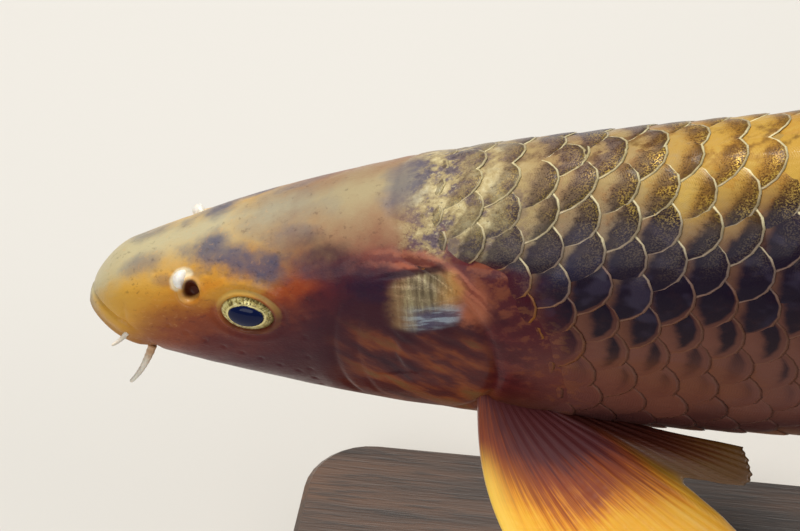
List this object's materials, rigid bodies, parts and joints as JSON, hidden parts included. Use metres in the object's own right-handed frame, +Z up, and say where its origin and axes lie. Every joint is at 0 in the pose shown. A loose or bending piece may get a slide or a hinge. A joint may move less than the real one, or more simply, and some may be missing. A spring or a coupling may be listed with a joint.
{
  "type": "koi carp model",
  "caption": "Life-size museum model of an orange koi carp with dark, net-like scale centres, swimming nose-down above a wooden plinth on steel rods.",
  "frame": {"origin": "centre of the plinth's underside", "axes": "+X from the head towards the tail along the plinth, +Y to the fish's right, +Z up; the fish heads towards -X and its left side faces -Y"},
  "size_m": [0.5355, 0.1835, 0.2758],
  "materials": {
    "head_skin": "wet-looking skin, ochre above and reddish brown below, with dark grey blotches",
    "gill_cover": "wet-looking skin with a silvery, finely streaked plate",
    "scales": "glossy overlapping scales, dark centres and pale golden rims",
    "fin": "glossy golden orange with fine rays, redder at the root",
    "eye": "glossy, gold ring round a blue-black pupil",
    "pale_skin": "smooth and whitish",
    "stained_wood": "dark stained, satin",
    "rod_steel": "brushed"
  },
  "bodies": {
    "root": {"head": "head_skin", "lower_jaw": "head_skin", "gill_cover_left": "gill_cover", "gill_cover_right": "gill_cover", "trunk_front": "scales", "trunk_rear": "scales", "tail_stalk": "scales", "eye_left": "eye", "eye_right": "eye", "nostril_flap_left": "pale_skin", "nostril_flap_right": "pale_skin", "barbel_short_left": "pale_skin", "barbel_short_right": "pale_skin", "barbel_long_left": "pale_skin", "barbel_long_right": "pale_skin", "pectoral_fin_left": "fin", "pectoral_fin_right": "fin", "pelvic_fin_left": "fin", "pelvic_fin_right": "fin", "dorsal_fin": "fin", "anal_fin": "fin", "tail_fin_upper": "fin", "tail_fin_lower": "fin", "stand_plinth": "stained_wood", "stand_rod_front": "rod_steel", "stand_rod_rear": "rod_steel"}
  },
  "joints": []
}
